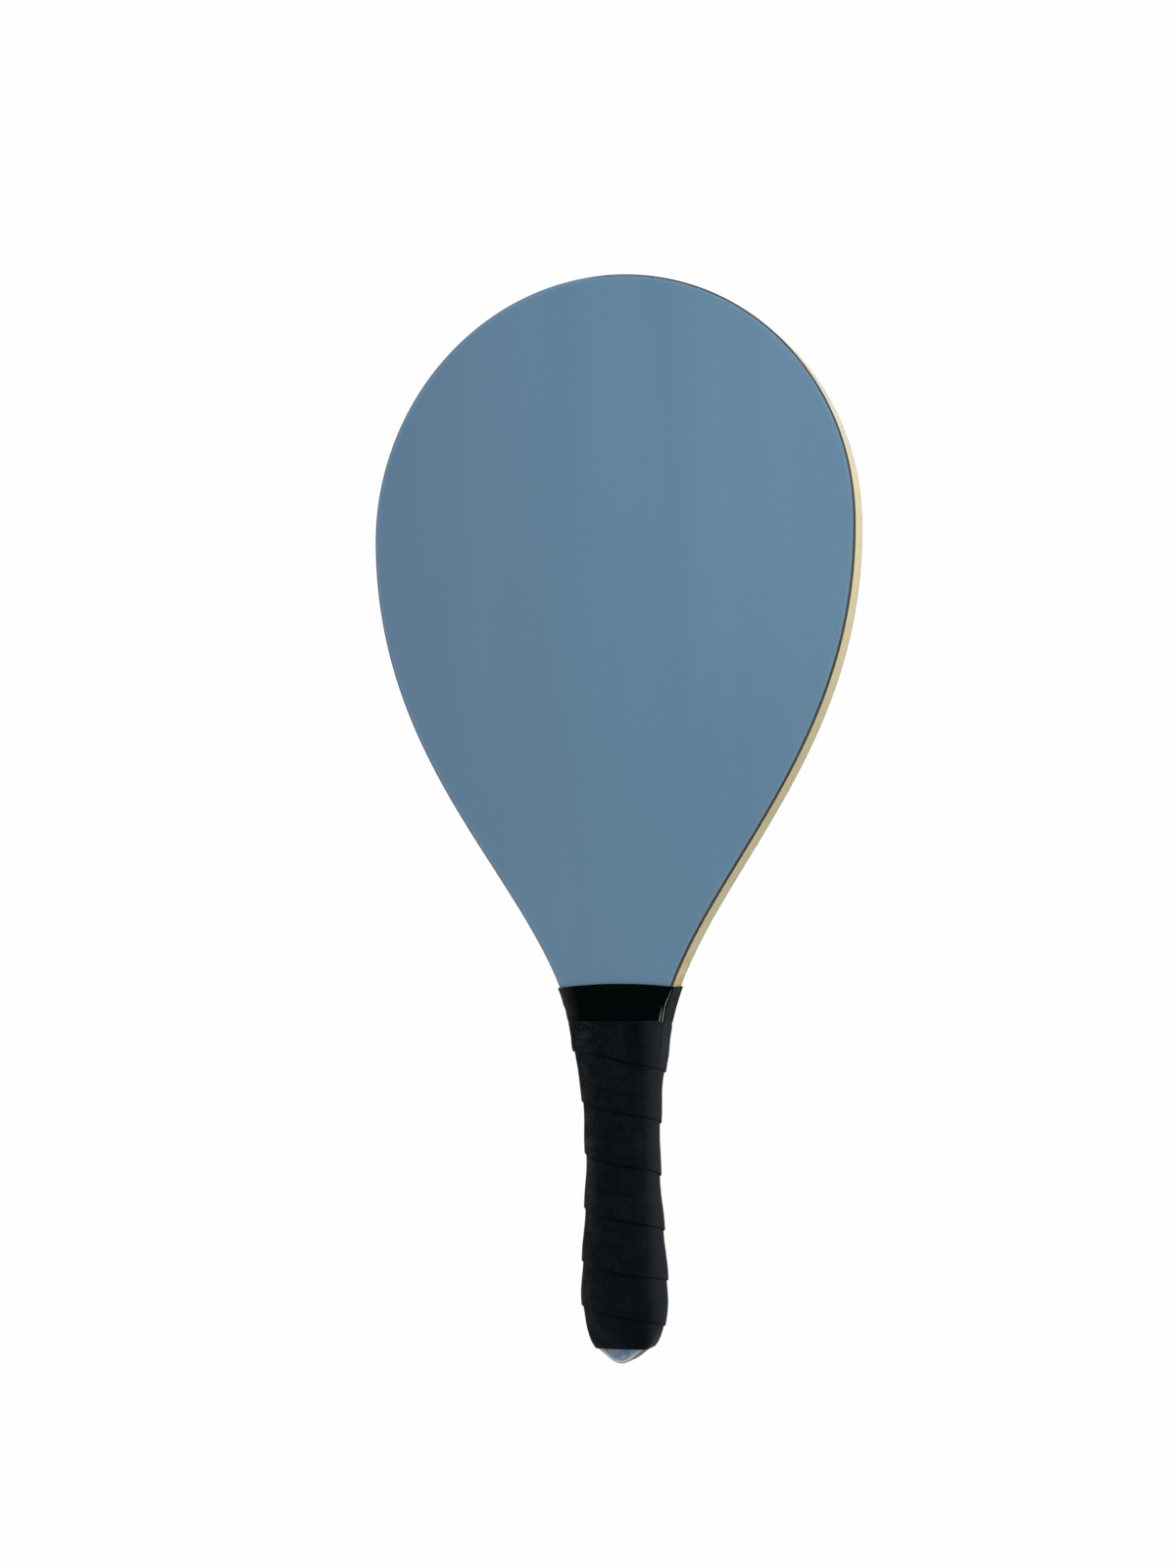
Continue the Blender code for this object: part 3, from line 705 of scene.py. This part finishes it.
def makeGripMaterial():
    material, tree, shader = newMaterial("matteOvergrip")
    tape = addNode(tree, "ShaderNodeAttribute", {"attribute_name": "tapePlace"}).outputs["Vector"]
    under = addNode(tree, "ShaderNodeAttribute", {"attribute_name": "underLap"}).outputs["Fac"]
    place = objectPoint(tree)

    def alongTape(across, along, detail):
        stretch = addNode(tree, "ShaderNodeVectorMath", {"operation": "MULTIPLY"})
        feed(tree, tape, stretch.inputs[0])
        stretch.inputs[1].default_value = (along, across, 0.0)
        return addNode(tree, "ShaderNodeTexNoise", Vector=stretch.outputs[0], Scale=1.0,
                       Detail=detail, Roughness=0.6).outputs[0]

    threads, creases = alongTape(1500.0, 110.0, 3.0), alongTape(330.0, 22.0, 2.0)
    grains = addNode(tree, "ShaderNodeTexNoise", Vector=place, Scale=1100.0, Detail=2.0).outputs[0]
    blotches = addNode(tree, "ShaderNodeTexNoise", Vector=place, Scale=170.0, Detail=4.0,
                       Roughness=0.62).outputs[0]
    tone = calc(tree, "MULTIPLY_ADD", grains, 0.30, calc(tree, "MULTIPLY", blotches, 0.45))
    tone = calc(tree, "MULTIPLY_ADD", threads, 0.25, tone)
    color = blendColor(tree, remap(tree, tone, 0.42, 0.58), gripFinish["dark"], gripFinish["light"])
    # Painted shade along the tape's creases
    fold = calc(tree, "MULTIPLY", remap(tree, creases, 0.44, 0.30), gripFinish["creaseShadeShare"])
    color = blendColor(tree, fold, color, gripFinish["seam"])

    # Pale along the left flank, most of all near the handle's middle: part rubbed wear, part
    # painted sheen where the flank catches the light
    spot = addNode(tree, "ShaderNodeSeparateXYZ", Vector=place).outputs
    atLeft = remap(tree, calc(tree, "MULTIPLY", spot["X"], -1.0), gripFinish["wearAndSheenFrom"],
                   gripFinish["wearAndSheenTo"])
    off = calc(tree, "ABSOLUTE", calc(tree, "SUBTRACT", spot["Y"],
                                      tipY + gripFinish["wearAndSheenMiddle"]))
    atMiddle = remap(tree, off, gripFinish["wearAndSheenReach"], 0.0, gripFinish["wearAndSheenEnds"], 1.0)
    wearAndSheen = calc(tree, "MULTIPLY", calc(tree, "MULTIPLY", atLeft, atMiddle),
                  remap(tree, tone, 0.40, 0.60))
    color = blendColor(tree, wearAndSheen, color, gripFinish["wearAndSheen"])

    # The right side of the oval: painted shade beside the flat, and painted light on the flank
    split = addNode(tree, "ShaderNodeSeparateXYZ", Vector=tape).outputs
    angle = calc(tree, "MULTIPLY_ADD", split["X"], 2 * math.pi / turnLength, grip["Start Angle"])
    toRight = calc(tree, "COSINE", angle)
    besideShade = calc(tree, "MULTIPLY", remap(tree, toRight, *gripFinish["besideShadeFrom"]),
                  remap(tree, toRight, *gripFinish["besideShadeTo"]))
    color = blendColor(tree, calc(tree, "MULTIPLY", besideShade, gripFinish["besideShadeShare"]), color,
                       gripFinish["besideShade"])
    paintedFlankLight = remap(tree, toRight, gripFinish["flankLightFrom"], gripFinish["flankLightTo"])
    color = blendColor(tree, paintedFlankLight, color, gripFinish["flank"])

    # Painted shadow: a dark line along each seam, under the lapped edge, fading towards both edges
    # of the front. It is whole again below a level, which lies higher on the left than on the right
    side = calc(tree, "ABSOLUTE", spot["X"])
    middle = remap(tree, side, gripFinish["seamFades"], gripFinish["seamFull"],
                   gripFinish["seamFaint"], 1.0)
    above = calc(tree, "SUBTRACT", calc(tree, "SUBTRACT", spot["Z"], midPlane), remap(
        tree, spot["X"], -0.005, 0.005, *gripFinish["faintAbove"]))
    middle = calc(tree, "MAXIMUM", middle, remap(tree, above, gripFinish["faintBlend"],
                                                 -gripFinish["faintBlend"]))
    middle = calc(tree, "MULTIPLY", middle, remap(tree, blotches, 0.35, 0.55, 0.45, 1.0))
    seam = calc(tree, "MAXIMUM", remap(tree, under, gripFinish["seamReach"], 0.0),
                remap(tree, split["Y"], gripFinish["edgeReach"], 0.0))
    seam = calc(tree, "MULTIPLY", seam, middle)
    color = blendColor(tree, seam, color, gripFinish["seam"])
    feed(tree, color, shader.inputs["Base Color"])
    rough = remap(tree, blotches, 0.35, 0.65, gripFinish["roughness"] + gripFinish["dullSpots"],
                  gripFinish["roughness"])
    rough = calc(tree, "MULTIPLY_ADD", seam, gripFinish["seamRoughness"], rough, clamp=True)
    feed(tree, rough, shader.inputs["Roughness"])
    shader.inputs["Specular IOR Level"].default_value = gripFinish["specular"]
    shader.inputs["Sheen Weight"].default_value = gripFinish["sheen"]
    shader.inputs["Sheen Roughness"].default_value = gripFinish["sheenRoughness"]
    relief = calc(tree, "MULTIPLY_ADD", threads, 0.6, calc(tree, "MULTIPLY_ADD", creases, 2.0, grains))
    bump = addNode(tree, "ShaderNodeBump", Strength=0.8, Distance=gripFinish["relief"],
                   Height=relief)
    feed(tree, bump.outputs[0], shader.inputs["Normal"])
    return material


gripMaterial = makeGripMaterial()
ribbon = addPiece("overgripTape", windTape(gripMaterial), gripMaterial, "overgrip")
print("overgrip done:", len(ribbon.data.polygons), "faces")


# Throat tape: a glossy band with wrinkles at its corners

throat = {
    "low": 0.14015, "width": 0.01470, "bow": 0.0015, "gap": 0.0003, "thickness": 0.0005,
    "corner": 0.0009, "rings": 44, "cornerPoints": 20, "flatPoints": 110, "sidePoints": 40,
    "paleLift": 0.0002,
}

# Wrinkles that gather where the tape goes round the narrowing neck: share of the band's
# height at the low and high end, millimetres in from the corner there, width and height
wrinkles = [
    {"side": 1, "shares": (0.00, 0.52), "inset": (1.75, 2.2), "width": 0.30, "height": 0.26},
    {"side": 1, "shares": (0.00, 0.60), "inset": (0.50, 1.05), "width": 0.30, "height": 0.27},
    {"side": 1, "shares": (0.45, 1.00), "inset": (0.95, 0.30), "width": 0.26, "height": 0.16},
    {"side": 1, "shares": (0.58, 0.66), "inset": (2.3, 0.4), "width": 0.45, "height": 0.12},
    {"side": 1, "shares": (0.40, 0.60), "inset": (-4.0, -5.5), "width": 1.6, "height": 0.09},
    {"side": -1, "shares": (0.08, 0.50), "inset": (0.8, 0.6), "width": 0.35, "height": 0.10},
    {"side": -1, "shares": (0.30, 0.85), "inset": (1.9, 0.9), "width": 0.40, "height": 0.10},
    {"side": -1, "shares": (0.02, 0.30), "inset": (-0.5, -0.9), "width": 0.60, "height": 0.20},
    {"side": -1, "shares": (0.45, 0.65), "inset": (-0.6, -1.0), "width": 0.60, "height": 0.20},
]


def throatSection(wide, high, bend):
    # Closed rounded rectangle as (x, z, outward x, outward z), with points bunched at corners
    points = []
    for quarter, (across, side) in enumerate(((1, 1), (-1, 1), (-1, -1), (1, -1))):
        for turn in np.linspace(0.0, 1.0, throat["cornerPoints"]):
            angle = (quarter + turn) * math.pi / 2
            outX, outZ = math.cos(angle), math.sin(angle)
            points.append((across * (wide - bend) + bend * outX,
                           side * (high - bend) + bend * outZ, outX, outZ))
        x, z, outX, outZ = points[-1]
        goalX, goalZ = (-x, z) if quarter % 2 == 0 else (x, -z)
        count = throat["flatPoints"] if quarter % 2 == 0 else throat["sidePoints"]
        for step in range(1, count):
            share = 0.5 - 0.5 * math.cos(math.pi * step / count)
            points.append((x + (goalX - x) * share, z + (goalZ - z) * share, outX, outZ))
    return np.array(points)


def wrinkleHeight(x, z, wide, high, share):
    # Height of the gathered tape above the smooth band, at points of one section. A place on
    # the section is measured from the corner: in over the face, or with a minus down the side
    total = np.zeros(len(x))
    for fold in wrinkles:
        low, top = fold["shares"]
        if not low <= share <= top:
            continue
        part = (share - low) / (top - low)
        inset = (fold["inset"][0] + (fold["inset"][1] - fold["inset"][0]) * part) * mm
        fade = (1.0 - part) ** 0.45 if low == 0.0 else 1.0 - (2.0 * part - 1.0) ** 4
        place = (wide - fold["side"] * x) - (high - z)
        off = np.where(z > 0.0, (place - inset) / (fold["width"] * mm), 9.0)
        total += fold["height"] * mm * fade * np.exp(-off * off)
    return total


def makeThroatTape():
    outer, inner, creases = [], [], []
    high = faceHalf + throat["gap"]
    for share in np.linspace(0.0, 1.0, throat["rings"]):
        height = throat["low"] + throat["width"] * share
        wide = halfWidth(height) + throat["gap"]
        for wall, rings in ((throat["thickness"], outer), (0.0, inner)):
            bend = throat["corner"] - throat["thickness"] + wall
            x, z, outX, outZ = throatSection(wide + wall, high + wall, bend).T
            y = tipY + height + throat["bow"] * share * (1 - (x / (wide + wall)) ** 2)
            if wall:
                lift = wrinkleHeight(x, z, wide + wall, high + wall, share)
                x, z = x + outX * lift, z + outZ * lift
                creases.append(np.where(x > 0.0, lift, 0.0) / throat["paleLift"])
            rings.append(np.column_stack([x, y, midPlane + z]))
    mesh = loft("throatTape", outer + inner[::-1], ends="joined")
    creases = np.concatenate(creases)
    storeOnPoints(mesh, "crease", np.concatenate([creases, np.zeros(len(creases))]))
    return mesh


vinyl = {
    "dark": srgb(2, 6, 6), "light": srgb(5, 11, 11), "creaseHighlight": srgb(128, 134, 134),
    "leftSheen": srgb(62, 60, 60), "leftSheenFrom": -0.0150, "leftSheenTo": -0.0245, "leftSheenLean": 0.19,
    "leftSheenCurve": 3.0, "wall": srgb(15, 17, 20), "wallSheenReach": 0.010,
    "glossy": 0.24, "dull": 0.36, "specular": 0.03, "relief": 0.00006,
}


def makeVinylMaterial():
    material, tree, shader = newMaterial("glossVinyl")
    place = objectPoint(tree)
    cloud = addNode(tree, "ShaderNodeTexNoise", Vector=place, Scale=180.0, Detail=2.0)
    color = blendColor(tree, cloud.outputs[0], vinyl["dark"], vinyl["light"])

    # Painted sheen towards its left end, where the rounded corner catches the light, and painted
    # reflection down the right wall
    spot = addNode(tree, "ShaderNodeSeparateXYZ", Vector=place).outputs
    fromTop = calc(tree, "SUBTRACT", spot["Y"], tipY + throat["low"] + throat["width"])
    left = calc(tree, "MULTIPLY_ADD", fromTop, vinyl["leftSheenLean"], spot["X"])
    leftSheen = remap(tree, left, vinyl["leftSheenFrom"], vinyl["leftSheenTo"], style="LINEAR")
    leftSheen = calc(tree, "MULTIPLY", calc(tree, "POWER", leftSheen, vinyl["leftSheenCurve"]),
                 remap(tree, cloud.outputs[0], 0.36, 0.60, 0.6, 1.0))
    color = blendColor(tree, leftSheen, color, vinyl["leftSheen"])
    # The right wall is painted lighter: painted reflection of the pale floor beside it
    down = calc(tree, "SUBTRACT", midPlane + faceHalf, spot["Z"])
    wall = calc(tree, "MULTIPLY", remap(tree, down, 0.0, vinyl["wallSheenReach"]),
                calc(tree, "GREATER_THAN", spot["X"], 0.0))
    color = blendColor(tree, wall, color, vinyl["wall"])

    # Painted highlight along the creases, where the wrinkles catch the light
    crease = addNode(tree, "ShaderNodeAttribute", {"attribute_name": "crease"}).outputs["Fac"]
    color = blendColor(tree, remap(tree, crease, 0.35, 1.05), color, vinyl["creaseHighlight"])
    feed(tree, color, shader.inputs["Base Color"])
    feed(tree, remap(tree, cloud.outputs[0], 0.3, 0.7, vinyl["glossy"], vinyl["dull"]),
         shader.inputs["Roughness"])
    shader.inputs["Specular IOR Level"].default_value = vinyl["specular"]
    bump = addNode(tree, "ShaderNodeBump", Strength=0.35, Distance=vinyl["relief"],
                   Height=cloud.outputs[0])
    feed(tree, bump.outputs[0], shader.inputs["Normal"])
    return material


vinylMaterial = makeVinylMaterial()
addPiece("throatBand", makeThroatTape(), vinylMaterial, "throat_tape")
print("throat tape done")


# Stage: a pale floor that the paddle rests on, soft lights and the camera

stage = {
    "floorSize": 12.0, "floorDrop": 0.00005, "floorPale": 0.40, "whiteShare": 0.985,
    "glossShare": 0.05, "ambient": 0.42, "zenith": 0.02, "darkAbove": 0.80, "whiteBelow": 0.45,
}


def makeWhiteShare(tree, share, glossShare):
    # How much of the white background a ray sees
    path = addNode(tree, "ShaderNodeLightPath").outputs
    direct = calc(tree, "MAXIMUM", path["Is Camera Ray"], path["Is Transmission Ray"])
    return calc(tree, "MULTIPLY_ADD", path["Is Glossy Ray"], glossShare,
                calc(tree, "MULTIPLY", direct, share))


def makeFloor():
    # The plane that touches the grip's underside and the rear sheet's end
    head = (headY - board["sheetChamfer"], midPlane - faceHalf)
    under = np.array([vertex.co[:] for vertex in ribbon.data.vertices])
    slope = max((head[1] - under[:, 2]) / (head[0] - under[:, 1]))
    size = stage["floorSize"] / 2
    floor = bpy.data.meshes.new("floor")
    corners = [(x, y, head[1] + slope * (y - head[0]) - stage["floorDrop"])
               for x, y in ((-size, -size), (size, -size), (size, size), (-size, size))]
    floor.from_pydata(corners, [], [(0, 1, 2, 3)])
    material, tree, shader = newMaterial("paleFloor")
    tree.nodes.remove(shader)
    matte = addNode(tree, "ShaderNodeBsdfDiffuse", Color=(stage["floorPale"],) * 3 + (1.0,))
    white = addNode(tree, "ShaderNodeEmission", Strength=1.0)
    mix = addNode(tree, "ShaderNodeMixShader",
                  Fac=makeWhiteShare(tree, stage["whiteShare"], stage["glossShare"]))
    feed(tree, matte.outputs[0], mix.inputs[1])
    feed(tree, white.outputs[0], mix.inputs[2])
    feed(tree, mix.outputs[0], tree.nodes["Material Output"].inputs["Surface"])
    floor.materials.append(material)
    ground = bpy.data.objects.new("floor", floor)
    bpy.context.scene.collection.objects.link(ground)
    return math.degrees(math.atan(slope))


def makeWorld():
    # White low down, dark overhead, as in a room with lit walls
    world = bpy.data.worlds.new("studio")
    bpy.context.scene.world = world
    world.use_nodes = True
    tree = world.node_tree
    back = tree.nodes["Background"]
    look = addNode(tree, "ShaderNodeSeparateXYZ",
                   Vector=addNode(tree, "ShaderNodeTexCoord").outputs["Generated"])
    walls = remap(tree, look.outputs["Z"], stage["darkAbove"], stage["whiteBelow"],
                  stage["zenith"], 1.0)
    path = addNode(tree, "ShaderNodeLightPath").outputs
    strength = blendColor(tree, path["Is Glossy Ray"], (1.0, 1.0, 1.0, 1.0), walls)
    ambient = stage["ambient"]
    seen = makeWhiteShare(tree, 1.0, 1.0)
    color = blendColor(tree, seen, (ambient, ambient, ambient, 1.0), strength)
    feed(tree, color, back.inputs["Color"])
    back.inputs["Strength"].default_value = 1.0


lamps = [
    {"name": "rightSoftbox", "at": (0.90, 0.60, 0.52), "size": (0.9, 0.75), "power": 15.9},
    {"name": "leftSoftbox", "at": (-0.95, -0.90, 0.55), "size": (0.8, 0.9), "power": 4.8},
]


def addLamp(lamp):
    light = bpy.data.lights.new(lamp["name"], "AREA")
    light.shape = "RECTANGLE"
    light.size, light.size_y = lamp["size"]
    light.energy = lamp["power"]
    thing = bpy.data.objects.new(lamp["name"], light)
    thing.location = lamp["at"]
    thing.rotation_mode = "QUATERNION"
    thing.rotation_quaternion = (-Vector(lamp["at"])).to_track_quat("-Z", "Y")
    thing.visible_camera = False
    bpy.context.scene.collection.objects.link(thing)


shot = {
    "at": (0.35514, -0.06392, 1.17993), "target": (-0.010782, 0.012431, 0.022004),
    "roll": -0.014128, "lens": 66.718, "sensor": 36.0,
}


def addCamera():
    camera = bpy.data.objects.new("camera", bpy.data.cameras.new("camera"))
    bpy.context.scene.collection.objects.link(camera)
    camera.data.lens, camera.data.sensor_width = shot["lens"], shot["sensor"]
    camera.data.clip_start, camera.data.clip_end = 0.05, 30.0
    ahead = (Vector(shot["target"]) - Vector(shot["at"])).normalized()
    right = ahead.cross(Vector((0.0, 1.0, 0.0))).normalized()
    up = right.cross(ahead)
    turn, lean = math.cos(shot["roll"]), math.sin(shot["roll"])
    basis = Matrix((turn * right + lean * up, turn * up - lean * right, -ahead)).transposed()
    camera.matrix_world = Matrix.Translation(shot["at"]) @ basis.to_4x4()
    bpy.context.scene.camera = camera


print("floor tilt: %.2f degrees" % makeFloor())
makeWorld()
for lamp in lamps:
    addLamp(lamp)
addCamera()
bpy.context.scene.view_settings.view_transform = "Standard"
print("stage, lights and camera done")
